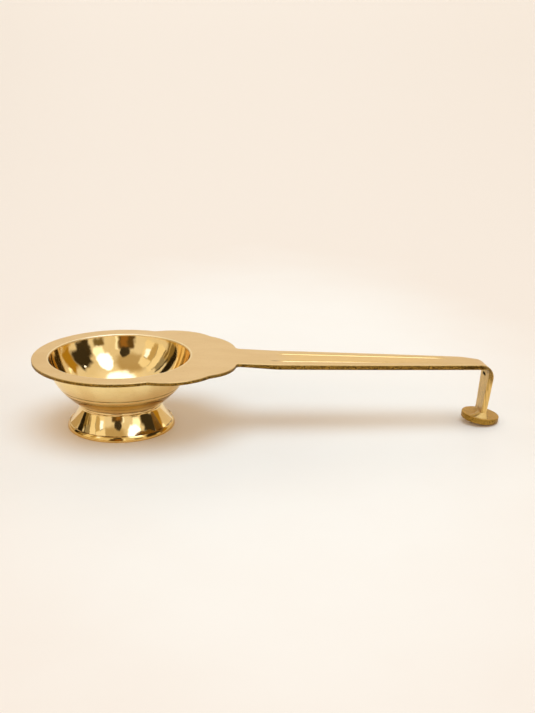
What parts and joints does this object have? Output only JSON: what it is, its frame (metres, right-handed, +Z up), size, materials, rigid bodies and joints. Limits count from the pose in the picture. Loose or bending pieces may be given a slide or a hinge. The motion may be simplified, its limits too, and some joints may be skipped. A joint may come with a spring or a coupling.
{
  "type": "aarti lamp",
  "caption": "Brass hand lamp: round cup for oil and wick on a flared foot, held in a scalloped plate that runs on as a ribbed handle with a bent leg and round rear foot.",
  "frame": {"origin": "centre of the pedestal's base ring, on the surface that the lamp stands on", "axes": "+Z up through the cup's axis, +X along the handle towards the rear foot, +Y to the left of someone who looks along the handle from the cup"},
  "size_m": [0.231, 0.085, 0.0355],
  "materials": {
    "satin_brass": "ground flat on top and satin, sand-cast skin left on the edges and underneath",
    "polished_brass": "turned and polished to a mirror",
    "cast_brass": "sand-cast, brushed on top",
    "filler_brass": "brazed, filed bright"
  },
  "bodies": {
    "root": {"handle_plate": "satin_brass", "bowl": "polished_brass", "bowl_braze": "filler_brass", "pedestal": "polished_brass", "pedestal_solder": "filler_brass", "foot_disc": "cast_brass", "foot_braze": "filler_brass"}
  },
  "joints": []
}
